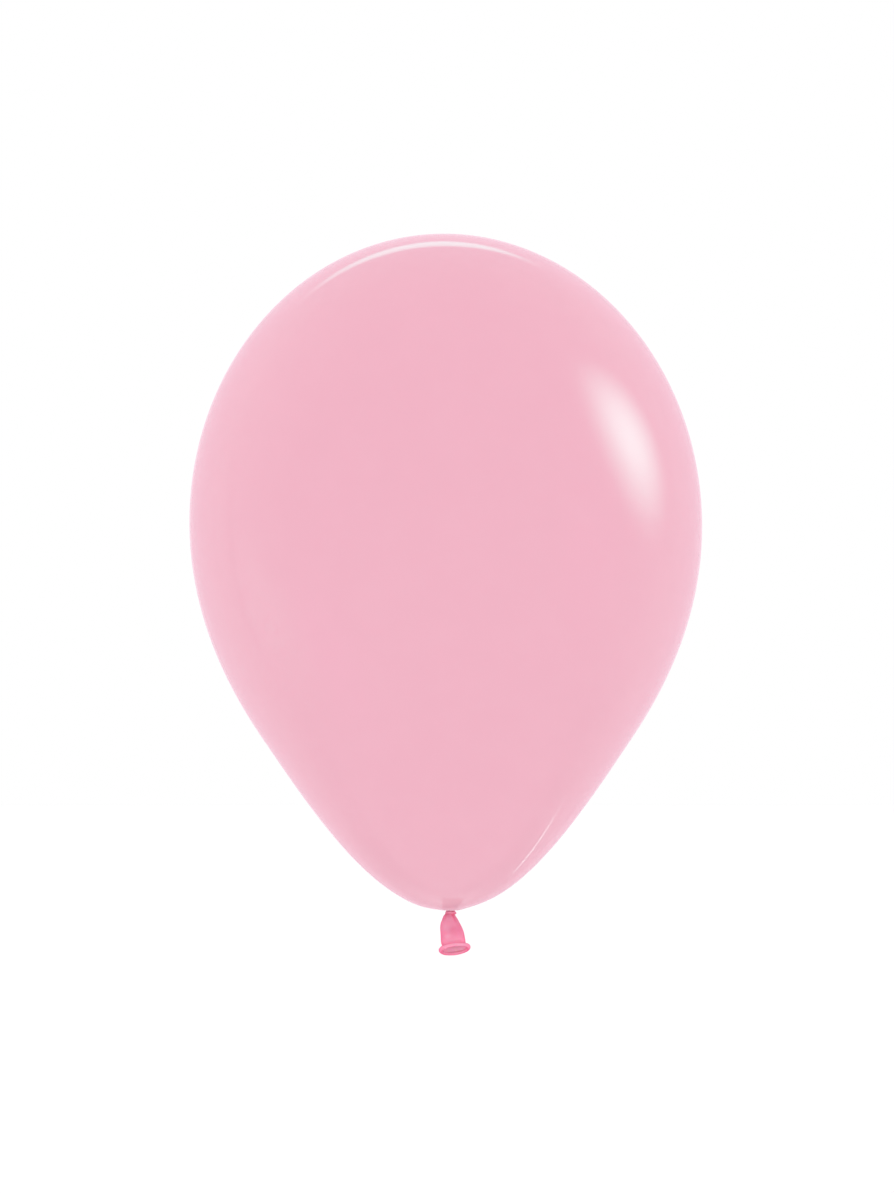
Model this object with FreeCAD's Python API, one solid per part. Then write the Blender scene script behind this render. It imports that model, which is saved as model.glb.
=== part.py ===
import FreeCAD, Part
import math
import os

# A 30 cm latex party balloon, blown up and tied, standing upright with its neck down.
# Millimetres, +Z up. The origin is the pinch of the neck, between the envelope and the
# knot. The crown is at the top, and the mouth of the tail faces down and forward (-Y).

# Envelope: a drop shape turned about Z. The top is half an ellipse. Below it the outline
# follows a straight flank line, which runs from the widest radius at FLANK_TOP_Z to
# FLANK_FOOT_R at the pole's height. A Bezier curve joins the belly to it and another
# rounds it into the foot, and they meet on it at FLANK_JOIN of its height.
WIDTH = 300.0
WIDEST_Z = 226.0
CROWN_RISE = 170.0
FLANK_TOP_Z = 162.7
FLANK_FOOT_R = 40.0
FLANK_JOIN = 0.60
BELLY_POLE = 0.715
FOOT_POLE = 0.31
# The blown film is far thinner than this. The wall is thickened so that it is a solid.
FILM = 0.5

# Dimple in the foot, where the gas swells down round the gathered neck.
DIMPLE_R = 6.5
DIMPLE_H = 7.3
DIMPLE_LIP = 1.5
DIMPLE_CORNER = 1.0
# An edge this close to the dimple's radius counts as its lip.
LIP_MATCH = 0.01

# Gathered neck: the pleated latex inside the dimple, turned about Z.
NECK_TOP_R = 5.85
NECK_TOP_Z = 6.8
NECK_LOW_R = 3.9
NECK_LOW_Z = 2.4
NECK_FOOT_R = 2.9
NECK_FOOT_Z = 1.35
NECK_EDGE = 0.5

# Knot: a turn of latex rolled round the strand that is tucked through it.
WRAP_R = 2.0
WRAP_HALF_WIDTH = 1.15
WRAP_HALF_HEIGHT = 1.45
WRAP_Z = -1.55
STRAND_R = 1.0
STRAND_TOP_Z = 0.0
STRAND_LOW_Z = -3.9

# Tail: the slack neck below the knot. It is built hanging straight down from its pivot
# at the foot of the strand, and then tipped. Each station is (distance down, radius).
TAIL_TOP = (1.4, 0.9)
HOLLOW_TOP = (3.2, 0.8)
TAIL_STATIONS = [(4.2, 4.1), (9.0, 6.5), (14.5, 7.0)]
TAIL_WALL = 0.4
TIP_FORWARD = 22.0
LEAN_RIGHT = 7.0

# Rolled lip round the mouth of the tail.
BEAD_R = 8.0
BEAD_SECTION_R = 1.17
BEAD_DOWN = 19.6
# The sleeve ends inside the bead, a little below its middle.
MOUTH_BELOW_BEAD = 0.9
MOUTH_DOWN = BEAD_DOWN + MOUTH_BELOW_BEAD

ORIGIN = FreeCAD.Vector(0, 0, 0)
X_AXIS = FreeCAD.Vector(1, 0, 0)
Y_AXIS = FreeCAD.Vector(0, 1, 0)
Z_AXIS = FreeCAD.Vector(0, 0, 1)


def point(radius, height):
    """A point of a half outline, which lies in the XZ plane."""
    return FreeCAD.Vector(radius, 0, height)


def path(points):
    """Straight edges from each point to the next."""
    return [Part.LineSegment(a, b).toShape() for a, b in zip(points, points[1:])]


def bezier(poles):
    """A cubic Bezier edge."""
    curve = Part.BezierCurve()
    curve.setPoles(poles)
    return curve.toShape()


def quarter_round(start, end, corner):
    """A quarter circle from start to end, bulging towards the corner point."""
    centre = start + end - corner
    bulge = (corner - centre).normalize() * (start - centre).Length
    return Part.Arc(start, centre + bulge, end).toShape()


def turned(edges):
    """The solid that a closed half outline makes when it is turned about Z."""
    face = Part.Face(Part.Wire(edges))
    return face.revolve(ORIGIN, Z_AXIS, 360)


def drop_body(inset):
    """The full drop shape, set in from the outside of the film by inset."""
    flank_foot = point(FLANK_FOOT_R, 0)
    flank_line = point(WIDTH / 2, FLANK_TOP_Z) - flank_foot
    into_gas = point(-flank_line.z, flank_line.x).normalize() * inset
    belly_end, join, foot_start = [flank_foot + flank_line * part + into_gas
                                   for part in (BELLY_POLE, FLANK_JOIN, FOOT_POLE)]
    crown = point(0, WIDEST_Z + CROWN_RISE - inset)
    widest = point(WIDTH / 2 - inset, WIDEST_Z)
    pole = point(0, inset)
    ellipse = Part.Ellipse(crown, widest, point(0, WIDEST_Z))
    top = Part.ArcOfEllipse(ellipse, 0, math.pi / 2).toShape()
    belly = bezier([widest, point(widest.x, FLANK_TOP_Z), belly_end, join])
    foot = bezier([join, foot_start, point(FLANK_FOOT_R, inset), pole])
    return turned([top, belly, foot] + path([pole, crown]))


def dimple_plug(inset):
    """The space of the dimple, grown by inset into the gas."""
    radius = DIMPLE_R + inset
    height = DIMPLE_H + inset
    corner = DIMPLE_CORNER + inset
    below = -DIMPLE_H
    edges = path([point(0, below), point(radius, below), point(radius, height - corner)])
    edges.append(quarter_round(point(radius, height - corner), point(radius - corner, height),
                               point(radius, height)))
    edges += path([point(radius - corner, height), point(0, height), point(0, below)])
    return turned(edges)


def dimpled_body(inset):
    """The drop shape with its dimple, whose lip is rounded."""
    body = drop_body(inset).cut(dimple_plug(inset))
    radius = DIMPLE_R + inset
    low = [edge for edge in body.Edges if edge.BoundBox.ZMax < DIMPLE_LIP]
    lip = [edge for edge in low if abs(edge.BoundBox.XMax - radius) < LIP_MATCH]
    return body.makeFillet(DIMPLE_LIP - inset, lip)


def envelope():
    """The blown film: a thin closed shell with the gas space sealed inside it."""
    return dimpled_body(0).cut(dimpled_body(FILM))


def gathered_neck():
    """The bunched neck, which narrows down to the pinch."""
    crown = NECK_TOP_Z - NECK_EDGE
    edges = path([point(0, NECK_FOOT_Z), point(NECK_FOOT_R, NECK_FOOT_Z),
                  point(NECK_LOW_R, NECK_LOW_Z), point(NECK_TOP_R, crown)])
    edges.append(quarter_round(point(NECK_TOP_R, crown), point(NECK_TOP_R - NECK_EDGE, NECK_TOP_Z),
                               point(NECK_TOP_R, NECK_TOP_Z)))
    edges += path([point(NECK_TOP_R - NECK_EDGE, NECK_TOP_Z), point(0, NECK_TOP_Z),
                   point(0, NECK_FOOT_Z)])
    return turned(edges)


def knot_strand():
    """The tucked strand: a round-ended stem from the pinch down to the tail's pivot."""
    stem = Part.makeCylinder(STRAND_R, STRAND_TOP_Z - STRAND_LOW_Z, point(0, STRAND_LOW_Z))
    ends = [Part.makeSphere(STRAND_R, point(0, z)) for z in (STRAND_TOP_Z, STRAND_LOW_Z)]
    return stem.fuse(ends).removeSplitter()


def knot_wrap():
    """The turn of latex round the strand: a ring of elliptical section."""
    high = point(WRAP_R, WRAP_Z + WRAP_HALF_HEIGHT)
    wide = point(WRAP_R + WRAP_HALF_WIDTH, WRAP_Z)
    section = Part.Ellipse(high, wide, point(WRAP_R, WRAP_Z)).toShape()
    ring = turned([section])
    bore = Part.makeCylinder(STRAND_R, 4 * WRAP_HALF_HEIGHT, point(0, WRAP_Z - 2 * WRAP_HALF_HEIGHT))
    return ring.cut(bore)


def tail_form(top, inset, end_down):
    """The tail's turned shape from its top to the given depth, set in by inset."""
    top_down, top_radius = top
    points = [point(top_radius, -top_down)]
    points += [point(radius - inset, -down) for down, radius in TAIL_STATIONS]
    flare = Part.BSplineCurve()
    flare.interpolate(Points=points, InitialTangent=point(1, -1), FinalTangent=-Z_AXIS)
    tube = points[-1]
    rest = path([tube, point(tube.x, -end_down), point(0, -end_down),
                 point(0, points[0].z), points[0]])
    return turned([flare.toShape()] + rest)


def hung(shape):
    """A shape built straight down from the tail's pivot, tipped and put in its place."""
    tip = FreeCAD.Rotation(X_AXIS, -TIP_FORWARD)
    lean = FreeCAD.Rotation(Y_AXIS, -LEAN_RIGHT)
    shape.Placement = FreeCAD.Placement(point(0, STRAND_LOW_Z), lean.multiply(tip))
    return shape


def tail_sleeve():
    """The slack sleeve, closed at the knot and open at the mouth."""
    outside = tail_form(TAIL_TOP, 0, MOUTH_DOWN)
    inside = tail_form(HOLLOW_TOP, TAIL_WALL, MOUTH_DOWN + TAIL_WALL)
    return hung(outside.cut(inside))


def rolled_lip():
    """The bead: the end of the sleeve rolled up on itself, seated on the sleeve."""
    bead = Part.makeTorus(BEAD_R, BEAD_SECTION_R, point(0, -BEAD_DOWN))
    sleeve_r = TAIL_STATIONS[-1][1]
    bore = Part.makeCylinder(sleeve_r, 4 * BEAD_SECTION_R, point(0, -BEAD_DOWN - 2 * BEAD_SECTION_R))
    return hung(bead.cut(bore))


NODES = {
    "envelope": envelope,
    "gathered_neck": gathered_neck,
    "knot_wrap": knot_wrap,
    "knot_strand": knot_strand,
    "tail_sleeve": tail_sleeve,
    "rolled_lip": rolled_lip,
}

os.makedirs("parts", exist_ok=True)
for name, make in NODES.items():
    make().exportStep("parts/" + name + ".step")
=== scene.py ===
"""Looks of the tied latex balloon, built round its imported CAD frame, in metres."""
import math

import bmesh
import bpy
import numpy as np
from mathutils import Matrix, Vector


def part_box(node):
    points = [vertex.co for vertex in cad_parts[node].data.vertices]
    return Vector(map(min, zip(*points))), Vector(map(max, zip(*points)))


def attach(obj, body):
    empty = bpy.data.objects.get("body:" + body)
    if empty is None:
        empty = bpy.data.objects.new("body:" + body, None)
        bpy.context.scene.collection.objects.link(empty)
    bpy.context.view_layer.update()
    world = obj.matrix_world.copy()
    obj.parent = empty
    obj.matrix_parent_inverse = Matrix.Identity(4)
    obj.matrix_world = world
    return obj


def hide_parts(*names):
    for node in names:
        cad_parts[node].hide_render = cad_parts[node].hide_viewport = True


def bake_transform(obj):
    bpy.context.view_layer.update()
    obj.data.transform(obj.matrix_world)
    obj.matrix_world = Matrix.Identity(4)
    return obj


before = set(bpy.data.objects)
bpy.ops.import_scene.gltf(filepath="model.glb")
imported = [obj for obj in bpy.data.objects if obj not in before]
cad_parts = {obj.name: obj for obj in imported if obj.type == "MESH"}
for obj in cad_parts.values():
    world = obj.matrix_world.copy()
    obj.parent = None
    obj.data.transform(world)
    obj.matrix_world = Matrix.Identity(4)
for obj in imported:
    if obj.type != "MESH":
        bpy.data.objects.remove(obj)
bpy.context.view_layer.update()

MM = 0.001
SKIN_LOW, SKIN_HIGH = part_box("envelope")

# Outline of the blown skin: half an ellipse on a straight flank line, as in the CAD part.
WIDEST_R = (SKIN_HIGH.x - SKIN_LOW.x) / 2
WIDEST_Z = 226 * MM
FLANK_TOP_Z = 162.7 * MM
FLANK_FOOT_R = 40 * MM
FLANK_JOIN = 0.60
BELLY_POLE = 0.715
FOOT_POLE = 0.31

# The foot rolls in round the neck and runs up into a cup. Its points are radius and height,
# and the cup's middle moves right as it rises.
LIP_R = 4.6 * MM
LIP_FOLD = 0.14 * MM
CUP_PLEAT = 0.25 * MM
CUP_MOUTH = (4.3 * MM, 1.3 * MM)
CUP_TOP = (6.2 * MM, 7.0 * MM)
CUP_CEILING_Z = 7.3 * MM
CUP_LEFT = -0.3 * MM
CUP_LEAN = 1.55 * MM
CROWN_SPOT_R = 11 * MM

# The blown skin leans a little to the left of the neck.
LEAN_OFFSET = 1.25 * MM
LEAN_RATE = 0.006
FOOT_LEAN = 0.7 * MM

# The neck and the knot sit a little to the right of the axis.
NECK_SHIFT = 0.2 * MM
KNOT_SHIFT = 0.1 * MM

# The tail hangs from its pivot, tipped forward and leaning right, and ends in a rolled bead.
TAIL_PIVOT_Z = -3.9 * MM
TIP_FORWARD = math.radians(22)
LEAN_RIGHT = math.radians(7)
TAIL_R = 7.4 * MM
TAIL_SPREAD = 5.3 * MM
TAIL_START = 3.5 * MM
THROAT_FILL = 0.8 * MM
TAIL_TOP = -2.4 * MM
MOUTH_DOWN = 20.2 * MM
TAIL_WALL = 0.35 * MM
MOUTH_SHIFT = 0.3 * MM
BEAD_DOWN = 19.7 * MM
BEAD_R = 8.1 * MM
BEAD_SECTION_R = 1.17 * MM

# Pleats round the throat of the tail: how many waves, and where each starts.
THROAT_PLEATS = ((5, 7, 9), (0.6, 2.5, 4.4))

# Camera: level, in front, and far enough away that the view is nearly flat.
CAMERA_DISTANCE = 3.5
CAMERA_X = -1.9 * MM
CAMERA_Z = 183.8 * MM
VIEW_HEIGHT = 698.4 * MM
SENSOR = 36.0

FLOOR_Z = -0.36
FLOOR_HALF = 12.0

# Colours of the blown film and of the thick latex.
FILM_PALE = (0.896, 0.446, 0.563)
FILM_DEEP = (0.890, 0.440, 0.557)
FILM_SPECK = (0.90, 0.47, 0.58)
# The cup's thick latex, darkened further as painted shade inside the balloon.
CUP_LATEX_AND_SHADE = (0.62, 0.09, 0.17)
NECK_MID = (0.985, 0.555, 0.665)
NECK_WARM = (0.990, 0.590, 0.690)
# A paler tone, and the colour of painted highlights and painted light.
NECK_PALE_AND_LIT = (1.000, 0.840, 0.875)
# Painted shade: the colour that creases, folds and the sleeve's throat are darkened towards.
NECK_FOLD_SHADE = (0.900, 0.220, 0.380)

# How much the blown film covers, and how dense it is at the crown, from film 0 to cup 1.
# The density is stored as "thickness", because Cycles keeps "density" for volumes.
FILM_COVER = 0.75
CROWN_DENSITY = 0.02
DENSITY = "thickness"

# Lowest and highest roughness of each latex.
FILM_ROUGHNESS = (0.05, 0.08)
NECK_ROUGHNESS = (0.34, 0.46)

# Light goes further through thick latex seen edge on, which deepens its outline.
NECK_TINT = (0.98, 0.62, 0.74)

# Studio as the gloss sees it. Each tuple is height or depth from and to, and level from and to.
ROOM = (-1.0, 1.0, 1.04, 0.62)
BACKDROP_LOW = (-1.0, -0.35, 0.41, 1.13)
BACKDROP_HIGH = (0.40, 1.00, 0.0, -0.36)
BACKDROP_RIM = (0.45, 0.95)
RIM_TINT = (-0.06, -0.24, -0.13)
BACKDROP_DIP = 0.45
BACKDROP_START = -0.06
BACKDROP_SOFT = (-0.90, -0.30, 0.10, 0.42)

# Lamps as ovals in the sky, in degrees, azimuth from +Y towards +X: a strip, a large softbox,
# a thin tube, a dark stand, the glow of the table, and pink light thrown by the walls.
LAMPS = [
    {"centre": (-2.5, 37.2), "radii": (31, 23.5, 5.2), "tilt": 0.0, "bow": 0.007,
     "soft": 0.55, "level": 1.76, "tint": (0.10, 1.00, 0.80)},
    {"centre": (82, 21), "radii": (25, 25, 26), "tilt": -0.26, "bow": 0.0,
     "soft": 0.98, "level": 8.2, "tint": (0.28, 1.00, 0.82)},
    {"centre": (37.5, -36.4), "radii": (7, 13, 0.95), "tilt": -0.16, "bow": 0.0,
     "soft": 0.5, "level": 3.5, "tint": (0.5, 1.0, 0.9)},
    {"centre": (-67, -8), "radii": (4, 5, 36), "tilt": 0.0, "bow": 0.0,
     "soft": 0.90, "level": -0.22, "tint": (1.0, 1.0, 1.0)},
    {"centre": (0, -55), "radii": (55, 55, 20), "tilt": 0.0, "bow": 0.0,
     "soft": 0.95, "level": 0.75, "tint": (1.0, 1.0, 1.0)},
    {"centre": (112, -8), "radii": (26, 26, 40), "tilt": 0.0, "bow": 0.0,
     "soft": 0.90, "level": 0.30, "tint": (1.0, 0.0, 0.5)},
    {"centre": (-112, -38), "radii": (24, 24, 32), "tilt": 0.0, "bow": 0.0,
     "soft": 0.90, "level": 0.30, "tint": (1.0, 0.1, 0.6)},
]
SKY_LOW = 1.06
SKY_HIGH = 1.11


def smooth(value, start, end):
    """0 before start, 1 after end, and a smooth step between."""
    t = np.clip((value - start) / (end - start), 0, 1)
    return t * t * (3 - 2 * t)


def bump(value, centre, width):
    """A bell curve of height 1."""
    return np.exp(-(((value - centre) / width) ** 2))


def bezier(p0, p1, p2, p3, count):
    """Points along a cubic Bezier curve, without its first one."""
    t = np.linspace(0, 1, count + 1)[1:, None]
    poles = [np.array(p) for p in (p0, p1, p2, p3)]
    weights = [(1 - t) ** 3, 3 * t * (1 - t) ** 2, 3 * t**2 * (1 - t), t**3]
    return sum(w * p for w, p in zip(weights, poles))


def placed(grid, matrix):
    """The grid's points moved by a 4 by 4 matrix."""
    m = np.array(matrix)
    return grid @ m[:3, :3].T + m[:3, 3]


def mesh_object(name, grid, material, slot, closed=False):
    """A closed mesh from a grid of rings. Its ends meet, or each gets a point at its middle."""
    rings, segments = grid.shape[:2]
    verts = grid.reshape(-1, 3)
    faces = []
    for i in range(rings if closed else rings - 1):
        for j in range(segments):
            k = (j + 1) % segments
            a, b = i * segments, (i + 1) % rings * segments
            faces.append((a + j, a + k, b + k, b + j))
    if not closed:
        verts = np.vstack([verts, grid[0].mean(0), grid[-1].mean(0)])
        first, last = rings * segments, rings * segments + 1
        for j in range(segments):
            k = (j + 1) % segments
            end = (rings - 1) * segments
            faces.append((first, k, j))
            faces.append((last, end + j, end + k))
    mesh = bpy.data.meshes.new(name)
    mesh.from_pydata(verts.tolist(), [], faces)
    mesh.validate()
    work = bmesh.new()
    work.from_mesh(mesh)
    bmesh.ops.recalc_face_normals(work, faces=work.faces)
    work.to_mesh(mesh)
    work.free()
    mesh.polygons.foreach_set("use_smooth", [True] * len(mesh.polygons))
    mesh.update()
    piece = bpy.data.objects.new(name, mesh)
    bpy.context.scene.collection.objects.link(piece)
    piece.data.materials.append(material)
    piece.visible_glossy = slot == "film_latex"
    return piece


def paint(piece, attribute, values):
    """Stores one number per ring point, and an end point takes its ring's mean."""
    flat = values.ravel()
    if len(piece.data.vertices) > flat.size:
        flat = np.concatenate([flat, [values[0].mean(), values[-1].mean()]])
    layer = piece.data.attributes.new(attribute, "FLOAT", "POINT")
    layer.data.foreach_set("value", flat.astype(np.float32))


def ripple(angle, counts, phases):
    """Uneven folds round a ring: the mean of a few waves of different counts."""
    return sum(np.cos(n * angle + p) for n, p in zip(counts, phases)) / len(counts)


def turn_angles(count):
    """Evenly spaced angles round one turn."""
    return np.linspace(0, 2 * math.pi, count, endpoint=False)


def calculate(tree, operation, *values):
    """A Math node fed by numbers or sockets."""
    node = tree.nodes.new("ShaderNodeMath")
    node.operation = operation
    for socket, value in zip(node.inputs, values):
        if isinstance(value, (int, float)):
            socket.default_value = value
        else:
            tree.links.new(value, socket)
    return node.outputs[0]


def ease(tree, value, start, end, low=0.0, high=1.0):
    """Low before start, high after end, and a smooth step between. Start may be the larger."""
    node = tree.nodes.new("ShaderNodeMapRange")
    node.interpolation_type = "SMOOTHSTEP"
    tree.links.new(value, node.inputs["Value"])
    node.inputs["From Min"].default_value = start
    node.inputs["From Max"].default_value = end
    node.inputs["To Min"].default_value = low
    node.inputs["To Max"].default_value = high
    return node.outputs["Result"]


def painted(tree, attribute):
    """The numbers stored by paint()."""
    node = tree.nodes.new("ShaderNodeAttribute")
    node.attribute_name = attribute
    return node.outputs["Fac"]


def noise(tree, size, detail=2.0, stretch=(1, 1, 1)):
    """Noise whose blots are about size across, in metres."""
    place = tree.nodes.new("ShaderNodeTexCoord")
    mapping = tree.nodes.new("ShaderNodeMapping")
    mapping.inputs["Scale"].default_value = stretch
    texture = tree.nodes.new("ShaderNodeTexNoise")
    texture.inputs["Scale"].default_value = 1 / size
    texture.inputs["Detail"].default_value = detail
    tree.links.new(place.outputs["Object"], mapping.inputs["Vector"])
    tree.links.new(mapping.outputs["Vector"], texture.inputs["Vector"])
    return texture.outputs["Fac"]


def mixed(tree, factor, first, second):
    """One colour turning into another. Each is a colour or a socket."""
    node = tree.nodes.new("ShaderNodeMix")
    node.data_type = "RGBA"
    tree.links.new(factor, node.inputs["Factor"])
    sockets = [s for s in node.inputs if s.type == "RGBA"]
    for socket, colour in zip(sockets, (first, second)):
        if isinstance(colour, tuple):
            socket.default_value = (*colour, 1)
        else:
            tree.links.new(colour, socket)
    return [s for s in node.outputs if s.type == "RGBA"][0]


def bumped(tree, height, distance, after=None):
    """A bump of that height in metres, on top of another one."""
    node = tree.nodes.new("ShaderNodeBump")
    node.inputs["Distance"].default_value = distance
    tree.links.new(height, node.inputs["Height"])
    if after is not None:
        tree.links.new(after, node.inputs["Normal"])
    return node.outputs["Normal"]


def new_material(name):
    """A material with its node tree and its shader."""
    material = bpy.data.materials.new(name)
    material.use_nodes = True
    tree = material.node_tree
    return material, tree, tree.nodes["Principled BSDF"]


def film_material():
    """Blown latex: a thin glossy film, faintly clouded, and denser where it isn't stretched, with
    painted shade over the cup round the neck.
    """
    material, tree, shader = new_material("blown_latex")
    density = painted(tree, DENSITY)
    clouds = ease(tree, noise(tree, 26 * MM, 3), 0.3, 0.7)
    colour = mixed(tree, clouds, FILM_PALE, FILM_DEEP)
    specks = ease(tree, noise(tree, 0.9 * MM, 2), 0.62, 0.78, 0, 0.35)
    colour = mixed(tree, specks, colour, FILM_SPECK)
    # Into the cup the colour turns to the cup's own: thick latex darkened as painted shade.
    colour = mixed(tree, density, colour, CUP_LATEX_AND_SHADE)
    tree.links.new(colour, shader.inputs["Base Color"])
    alpha = ease(tree, density, 0, 1, FILM_COVER, 1)
    tree.links.new(alpha, shader.inputs["Alpha"])
    rough = ease(tree, noise(tree, 9 * MM, 2), 0.3, 0.7, *FILM_ROUGHNESS)
    tree.links.new(rough, shader.inputs["Roughness"])
    normal = bumped(tree, noise(tree, 14 * MM, 1), 0.03 * MM)
    normal = bumped(tree, noise(tree, 0.7 * MM, 1), 0.0006 * MM, normal)
    tree.links.new(normal, shader.inputs["Normal"])
    shader.inputs["IOR"].default_value = 1.5
    return material


def neck_material():
    """Thick unblown latex: deeper pink, softly glossy, finely wrinkled, with painted shade in its
    folds and creases, and a paler tone with painted highlights and light.
    """
    material, tree, shader = new_material("neck_latex")
    clouds = ease(tree, noise(tree, 2.6 * MM, 3), 0.35, 0.65)
    colour = mixed(tree, clouds, NECK_MID, NECK_WARM)
    # Paler tone with painted highlights and painted light.
    colour = mixed(tree, painted(tree, "pale_and_lit"), colour, NECK_PALE_AND_LIT)
    # Painted shade in creases, folds and inside the sleeve.
    colour = mixed(tree, painted(tree, "fold_shade"), colour, NECK_FOLD_SHADE)
    tree.links.new(colour, shader.inputs["Base Color"])
    rough = ease(tree, noise(tree, 1.5 * MM, 2), 0.3, 0.7, *NECK_ROUGHNESS)
    tree.links.new(rough, shader.inputs["Roughness"])
    grain = noise(tree, 0.35 * MM, 2)
    wrinkles = noise(tree, 1.3 * MM, 2, (1, 1, 0.45))
    normal = bumped(tree, wrinkles, 0.10 * MM)
    normal = bumped(tree, grain, 0.012 * MM, normal)
    tree.links.new(normal, shader.inputs["Normal"])
    shader.inputs["IOR"].default_value = 1.35
    shader.inputs["Coat Weight"].default_value = 1.0
    shader.inputs["Coat IOR"].default_value = 1.05
    shader.inputs["Coat Roughness"].default_value = 0.4
    shader.inputs["Coat Tint"].default_value = (*NECK_TINT, 1)
    shader.inputs["Subsurface Weight"].default_value = 0.6
    shader.inputs["Subsurface Radius"].default_value = (1.0, 0.45, 0.55)
    shader.inputs["Subsurface Scale"].default_value = 0.70 * MM
    return material


def floor_material():
    """Plain white paper with a faint tooth."""
    material, tree, shader = new_material("floor_paper")
    tooth = noise(tree, 4 * MM, 3)
    tree.links.new(mixed(tree, tooth, (0.94, 0.94, 0.94), (0.96, 0.96, 0.96)),
                   shader.inputs["Base Color"])
    shader.inputs["Roughness"].default_value = 0.9
    shader.inputs["Specular IOR Level"].default_value = 0.1
    return material


def glow(tree, azimuth, elevation, lamp):
    """An oval lamp in the sky: 1 at its middle, 0 past its edge."""
    low, high, tall = lamp["radii"]
    across = calculate(tree, "SUBTRACT", azimuth, lamp["centre"][0])
    up = calculate(tree, "SUBTRACT", elevation, lamp["centre"][1])
    up = calculate(tree, "MULTIPLY_ADD", across, lamp["tilt"], up)
    bow = calculate(tree, "MULTIPLY", across, lamp["bow"])
    up = calculate(tree, "MULTIPLY_ADD", across, bow, up)
    up = calculate(tree, "DIVIDE", up, tall)
    after = calculate(tree, "DIVIDE", across, high)
    before = calculate(tree, "DIVIDE", across, -low)
    across = calculate(tree, "MAXIMUM", before, after)
    squares = calculate(tree, "MULTIPLY", across, across)
    squares = calculate(tree, "MULTIPLY_ADD", up, up, squares)
    return ease(tree, calculate(tree, "SQRT", squares), 1, 1 - lamp["soft"])


def backdrop(tree, y, z):
    """Red, green and blue of the room and of the paler backdrop behind the balloon."""
    room = ease(tree, z, *ROOM)
    pale_and_lit = calculate(tree, "ADD", ease(tree, z, *BACKDROP_LOW), ease(tree, z, *BACKDROP_HIGH))
    rim = ease(tree, y, *BACKDROP_RIM)
    low = calculate(tree, "MINIMUM", z, 0.0)
    behind = calculate(tree, "MULTIPLY_ADD", low, BACKDROP_DIP, y)
    behind = calculate(tree, "SUBTRACT", behind, BACKDROP_START)
    behind = calculate(tree, "DIVIDE", behind, ease(tree, z, *BACKDROP_SOFT))
    behind = ease(tree, behind, -1, 1)
    light = calculate(tree, "MULTIPLY_ADD", behind, calculate(tree, "SUBTRACT", pale_and_lit, room), room)
    return [calculate(tree, "MULTIPLY_ADD", rim, tint, light) for tint in RIM_TINT]


def build_studio():
    """A white studio. Its lamps are seen only as reflections."""
    world = bpy.data.worlds.new("studio")
    bpy.context.scene.world = world
    world.use_nodes = True
    world.cycles.sampling_method = "NONE"
    tree = world.node_tree
    place = tree.nodes.new("ShaderNodeTexCoord")
    axes = tree.nodes.new("ShaderNodeSeparateXYZ")
    tree.links.new(place.outputs["Generated"], axes.inputs[0])
    x, y, z = axes.outputs
    azimuth = calculate(tree, "DEGREES", calculate(tree, "ARCTAN2", x, y))
    elevation = calculate(tree, "DEGREES", calculate(tree, "ARCSINE", z))
    lamps = backdrop(tree, y, z)
    for lamp in LAMPS:
        spot = glow(tree, azimuth, elevation, lamp)
        levels = [lamp["level"] * tint for tint in lamp["tint"]]
        lamps = [calculate(tree, "MULTIPLY_ADD", spot, level, light)
                 for level, light in zip(levels, lamps)]
    sky = ease(tree, z, -1, 1, SKY_LOW, SKY_HIGH)
    ray = tree.nodes.new("ShaderNodeLightPath")
    colour = tree.nodes.new("ShaderNodeCombineColor")
    for light, socket in zip(lamps, colour.inputs):
        light = calculate(tree, "SUBTRACT", light, sky)
        light = calculate(tree, "MULTIPLY_ADD", ray.outputs["Is Glossy Ray"], light, sky)
        white = calculate(tree, "SUBTRACT", 1.0, light)
        light = calculate(tree, "MULTIPLY_ADD", ray.outputs["Is Camera Ray"], white, light)
        tree.links.new(light, socket)
    tree.links.new(colour.outputs["Color"], tree.nodes["Background"].inputs["Color"])


def build_camera():
    """Level, straight ahead, and sharp everywhere."""
    data = bpy.data.cameras.new("camera")
    data.sensor_width = SENSOR
    data.lens = SENSOR * CAMERA_DISTANCE / VIEW_HEIGHT
    camera = bpy.data.objects.new("camera", data)
    camera.location = (CAMERA_X, -CAMERA_DISTANCE, CAMERA_Z)
    camera.rotation_euler = (math.pi / 2, 0, 0)
    bpy.context.scene.collection.objects.link(camera)
    bpy.context.scene.camera = camera


def build_floor():
    """A wide white floor below the balloon. Its gloss would hide the lamps, so it has none."""
    mesh = bpy.data.meshes.new("floor")
    corners = [(-1, -1), (1, -1), (1, 1), (-1, 1)]
    mesh.from_pydata([(x * FLOOR_HALF, y * FLOOR_HALF, FLOOR_Z) for x, y in corners],
                     [], [(0, 1, 2, 3)])
    floor = bpy.data.objects.new("floor", mesh)
    floor.data.materials.append(floor_material())
    floor.visible_glossy = False
    bpy.context.scene.collection.objects.link(floor)


def flank(share):
    """A point on the straight flank line, 0 at the foot and 1 at the top."""
    return (FLANK_FOOT_R + share * (WIDEST_R - FLANK_FOOT_R), share * FLANK_TOP_Z)


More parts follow.
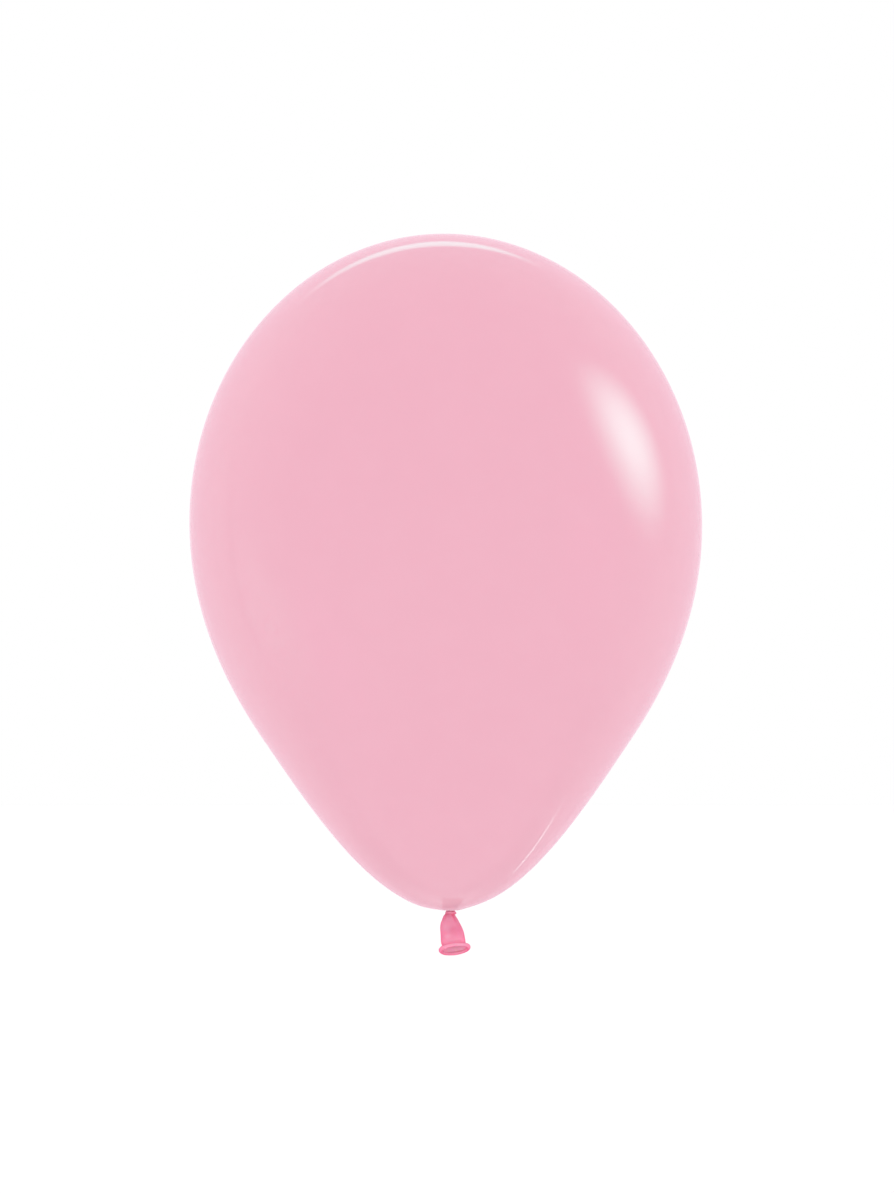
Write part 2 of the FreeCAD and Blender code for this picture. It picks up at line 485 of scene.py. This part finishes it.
def skin_rows():
    """Radius and height down the skin, and how dense the latex is: film 0, cup 1. The same number
    turns the colour to the cup's, partly painted shade.
    """
    t = np.linspace(0, math.pi / 2, 71)[1:]
    rise = SKIN_HIGH.z - WIDEST_Z
    crown = np.stack([WIDEST_R * np.sin(t), WIDEST_Z + rise * np.cos(t)], 1)
    belly = bezier((WIDEST_R, WIDEST_Z), (WIDEST_R, FLANK_TOP_Z), flank(BELLY_POLE),
                   flank(FLANK_JOIN), 26)
    foot = bezier(flank(FLANK_JOIN), flank(FOOT_POLE), (FLANK_FOOT_R, 0), (0, 0), 90)
    foot = foot[foot[:, 0] > LIP_R]
    film = np.vstack([crown, belly, foot])
    lip = bezier((LIP_R, 0.18 * MM), (4.2 * MM, 0.15 * MM), (4.1 * MM, 0.5 * MM), CUP_MOUTH, 8)
    wall = bezier(CUP_MOUTH, (4.5 * MM, 2.6 * MM), (5.6 * MM, 4.6 * MM), CUP_TOP, 12)
    roof = bezier(CUP_TOP, (6.2 * MM, 7.2 * MM), (5.9 * MM, CUP_CEILING_Z),
                  (LIP_R, CUP_CEILING_Z), 6)
    ceiling = [(3.0 * MM, CUP_CEILING_Z), (1.4 * MM, CUP_CEILING_Z), (0.4 * MM, CUP_CEILING_Z)]
    cup = np.vstack([lip, wall, roof, ceiling])
    # The number rises towards the cup's top, which paints the top darker: painted shade.
    thick = smooth(np.arange(len(cup)), 0, 6) * (0.9 + 0.1 * smooth(cup[:, 1], 0, CUP_TOP[1]))
    density = np.concatenate([np.zeros(len(film)), thick])
    crown_spot = bump(film[:, 0], 0, CROWN_SPOT_R) * (film[:, 1] > WIDEST_Z)
    density[: len(film)] = CROWN_DENSITY * crown_spot
    in_cup = np.concatenate([np.zeros(len(film)), smooth(np.arange(len(cup)), 0, 8)])
    return np.vstack([film, cup]), density, in_cup


def cup_lean(z):
    """How far right the cup's middle is at each height."""
    return CUP_LEFT + CUP_LEAN * smooth(z, 1.3 * MM, 5.7 * MM)


def build_skin(material):
    """The blown skin: one film from the crown down into the cup round the neck."""
    rows, density, in_cup = skin_rows()
    angle = turn_angles(288)[None, :]
    r, z = rows[:, :1], rows[:, 1:]
    folds = ripple(angle, (9, 13, 17), (0.4, 1.9, 4.0))
    near_lip = bump(r, LIP_R, 5 * MM) * (1 - in_cup[:, None]) * (z < 8 * MM)
    pleats = CUP_PLEAT * in_cup[:, None] * ripple(angle, (7, 11), (1.0, 2.2))
    r = np.maximum(r + pleats * smooth(r, 1 * MM, 3.5 * MM), 0.2 * MM)
    z = z + LIP_FOLD * near_lip * folds
    below = smooth(r, 4 * MM, 14 * MM) * (1 - in_cup[:, None])
    lean = (LEAN_OFFSET + LEAN_RATE * z) * np.where(z > WIDEST_Z, 1, below)
    lean = lean + FOOT_LEAN * bump(r, 16 * MM, 10 * MM) * (z < FLANK_TOP_Z) * (1 - in_cup[:, None])
    shift = in_cup[:, None] * cup_lean(z)
    grid = np.stack([r * np.cos(angle) - lean + shift, r * np.sin(angle), z + 0 * angle], 2)
    skin = mesh_object("balloon_skin", grid, material, "film_latex")
    paint(skin, DENSITY, np.repeat(density[:, None], angle.size, 1))
    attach(skin, "envelope")
    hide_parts("envelope")


def shade(piece, fold_shade, pale_and_lit):
    """Stores the painted shade in creases and folds, and the paler tone with painted light, each 0
    to 1.
    """
    paint(piece, "fold_shade", np.clip(fold_shade, 0, 1))
    paint(piece, "pale_and_lit", np.clip(pale_and_lit, 0, 1))


def build_neck(material):
    """Gathered latex from the cup's roof down to the knot."""
    z = np.linspace(6.2, -1.0, 40) * MM
    r = np.interp(-z, -np.array([6.2, 4, 2, 1.2, 0.4, -0.2, -1.0]) * MM,
                  np.array([4.0, 3.5, 2.9, 2.8, 2.75, 2.65, 2.3]) * MM)
    angle = turn_angles(160)[None, :]
    pleat = ripple(angle + 0.04 * z[:, None] / MM, (9, 13, 6), (0.3, 2.0, 4.1))
    r = r[:, None] * (1 + 0.12 * pleat)
    z = z[:, None]
    grid = np.stack([r * np.cos(angle) + NECK_SHIFT, r * np.sin(angle), z + 0 * angle], 2)
    neck = mesh_object("neck_pleats", grid, material, "neck_latex")
    # Painted shade in the valleys of the pleats, and painted highlights on their crests.
    shade(neck, 0.35 * smooth(-pleat, 0.05, 0.6), 0.3 * smooth(pleat, 0.2, 0.8))
    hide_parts("gathered_neck")
    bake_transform(neck)


def build_turn(material):
    """The strand's turn round the neck: low at the back, tall on the left, a band in front."""
    turns = 1.25
    path = np.linspace(0, 1, 150)
    psi = math.radians(90) + path * turns * 2 * math.pi
    # At each angle: the middle's height, half the height, half the width and the loop's radius.
    knots = np.radians([90, 140, 180, 225, 270, 315, 360, 405, 450, 495, 540])
    height = np.interp(psi, knots, np.array([-2.7, -2.5, -1.9, -1.3, -0.95, -1.1, -1.5,
                                             -1.2, -0.9, -1.0, -1.3]) * MM)
    tall = np.interp(psi, knots, np.array([0.8, 1.1, 1.5, 1.2, 0.85, 0.85, 0.95,
                                           0.9, 0.8, 0.75, 0.5]) * MM)
    thick = np.interp(psi, knots, np.array([0.8, 1.0, 1.1, 1.05, 1.0, 1.2, 1.4,
                                            1.2, 1.1, 0.9, 0.6]) * MM)
    loop = np.interp(psi, knots, np.array([1.3, 1.7, 1.95, 2.0, 2.0, 2.0, 2.0, 2.0,
                                           2.0, 1.7, 0.9]) * MM)
    ends = smooth(path, 0, 0.05) * (1 - smooth(path, 0.95, 1))
    section = turn_angles(40)[None, :]
    crease = np.cos(4 * psi[:, None] + section) + 0.7 * np.cos(7 * psi[:, None] - 2 * section)
    size = (0.35 + 0.65 * ends[:, None]) * (1 + 0.07 * crease)
    out = loop[:, None] + thick[:, None] * size * np.cos(section)
    z = height[:, None] + tall[:, None] * size * np.sin(section)
    psi = psi[:, None]
    grid = np.stack([out * np.cos(psi) + KNOT_SHIFT, out * np.sin(psi), z], 2)
    turn = mesh_object("knot_turn", grid, material, "neck_latex")
    # Painted shade in the troughs of the creases; a paler tone all along, with painted highlights
    # on the crests.
    fold_shade = 0.1 * smooth(-crease, 0.6, 1.6)
    shade(turn, fold_shade, 0.12 + 0.2 * smooth(crease, 0.6, 1.6))
    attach(turn, "knot")
    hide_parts("knot_wrap")


def build_tuck(material):
    """The strand tucked down through the turn."""
    z = np.linspace(0.3, -4.2, 30) * MM
    t = np.linspace(0, 1, 30)
    angle = turn_angles(96)[None, :]
    pleat = ripple(angle + 1.2 * t[:, None], (5, 8), (0.5, 2.6))
    r = (1.55 + 0.5 * bump(t, 0.9, 0.25))[:, None] * MM * (1 + 0.16 * pleat)
    grid = np.stack([r * np.cos(angle) + NECK_SHIFT * 0.5, r * np.sin(angle),
                     z[:, None] + 0 * angle], 2)
    tuck = mesh_object("knot_tuck", grid, material, "neck_latex")
    # Painted shade in the valleys of the pleats.
    shade(tuck, 0.3 * smooth(-pleat, 0, 0.6), 0 * pleat)
    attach(tuck, "knot")
    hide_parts("knot_strand")


def tail_matrix():
    """From tail coordinates, right, back and down the tail, to the shared frame."""
    turn = Matrix.Rotation(-LEAN_RIGHT, 4, "Y") @ Matrix.Rotation(-TIP_FORWARD, 4, "X")
    return Matrix.Translation((0, 0, TAIL_PIVOT_Z)) @ turn @ Matrix.Diagonal((1, 1, -1, 1))


def tail_surface(down, angle, inset):
    """Points of the tail's film that far down it, moved in by the wall for its inner side."""
    s = down / MM
    half = TAIL_R * (1 - np.exp(-(down + TAIL_START) / TAIL_SPREAD))
    half = half + THROAT_FILL * bump(s, -2.4, 2.2)
    half = half - 0.25 * MM * bump(s, 17.2, 1.6) + 0.25 * MM * smooth(s, 18, 20.2)
    shift = -0.65 * MM * smooth(s, -2.6, -0.6) * (1 - smooth(s, 3, 11))
    shift = shift + MOUTH_SHIFT * smooth(s, 14, 19)
    flat = 1 - 0.25 * bump(s, 7, 5)
    throat = ripple(angle, *THROAT_PLEATS) * 0.4 * MM * (1 - smooth(s, 1, 9))
    r = half + throat * np.minimum(half / (3 * MM), 1) - inset
    dent = 0.35 * MM * bump(s, 7.5, 3.5) * bump(np.cos(angle + math.pi / 2 - 0.25), 1, 0.5)
    y = flat * r * np.sin(angle) + dent
    return r * np.cos(angle) + shift, y


def build_tail(material):
    """The open sleeve below the knot: pleated at the throat, flaring to its rolled mouth."""
    angle = turn_angles(192)[None, :]
    outer = np.linspace(TAIL_TOP, MOUTH_DOWN, 84)
    inner = np.linspace(MOUTH_DOWN, 1.5 * MM, 60)
    down = np.concatenate([outer, inner])[:, None]
    inset = np.concatenate([0 * outer, 0 * inner + TAIL_WALL])[:, None]
    x, y = tail_surface(down, angle, inset)
    grid = placed(np.stack([x, y, down + 0 * angle], 2), tail_matrix())
    tail = mesh_object("tail_film", grid, material, "neck_latex")
    s = down / MM
    pleat = ripple(angle, *THROAT_PLEATS)
    # Painted shade in the valleys of the throat's pleats.
    fold_shade = 0.15 * smooth(-pleat, 0.1, 0.7) * (1 - smooth(s, 1, 7))
    # Inside the sleeve, painted shade that deepens towards the throat.
    fold_shade = np.where(inset > 0, 0.5 * (1 - smooth(s, 7, 11)), fold_shade)
    # Painted highlights on the front of the tail, and painted light over the whole inside of the
    # sleeve.
    front = bump(np.sin(angle), -1, 0.35)
    painted_light_patch = 0.65 * bump(s, 13.4, 1.1) * bump(np.cos(angle), -0.4, 0.3) * front
    painted_light_patch = painted_light_patch + 0.45 * bump(s, 9.0, 3.0) * bump(np.cos(angle), -0.45, 0.3) * front
    painted_light_patch = painted_light_patch + 0.4 * bump(s, 2.2, 1.2) * bump(np.cos(angle), -0.1, 0.25) * front
    painted_light_patch = painted_light_patch + 0.2 * bump(s, 16.5, 0.8) * front
    painted_light_patch = np.where(inset > 0, 1.0, painted_light_patch)
    shade(tail, fold_shade, painted_light_patch)
    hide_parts("tail_sleeve")
    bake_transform(tail)


def build_bead(material):
    """The rolled lip: a few turns of film rolled into a ring, with the roll's edge showing as a
    groove and a line of painted shade.
    """
    round_mouth = turn_angles(240)[:, None]
    section = turn_angles(36)[None, :]
    waves = 0.035 * np.cos(3 * round_mouth + 0.7) + 0.02 * np.cos(7 * round_mouth + 2)
    groove = bump(section, 2.2 + 0.15 * np.cos(2 * round_mouth), 0.22)
    size = BEAD_SECTION_R * (1 + waves - 0.16 * groove)
    out = BEAD_R + 0.12 * MM * np.cos(2 * round_mouth + 0.4) + size * np.cos(section)
    down = BEAD_DOWN + size * np.sin(section)
    across = out * np.cos(round_mouth) + MOUTH_SHIFT
    grid = np.stack([across, out * np.sin(round_mouth), down], 2)
    grid = placed(grid, tail_matrix())
    bead = mesh_object("lip_bead", grid, material, "neck_latex", closed=True)
    # A line of painted shade along the roll's edge.
    roll_edge_shade = 0.8 * bump(section, 1.9, 0.22) + 0 * round_mouth
    # A paler tone all round, with a painted highlight on the roll's lower outer side.
    shade(bead, roll_edge_shade, 0.1 + 0.3 * bump(section, 1.1, 0.4) + 0 * round_mouth)
    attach(bead, "tail")
    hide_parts("rolled_lip")


build_studio()
build_camera()
build_floor()
build_skin(film_material())
latex = neck_material()
build_neck(latex)
build_turn(latex)
build_tuck(latex)
build_tail(latex)
build_bead(latex)

bpy.context.scene.view_settings.view_transform = "Standard"
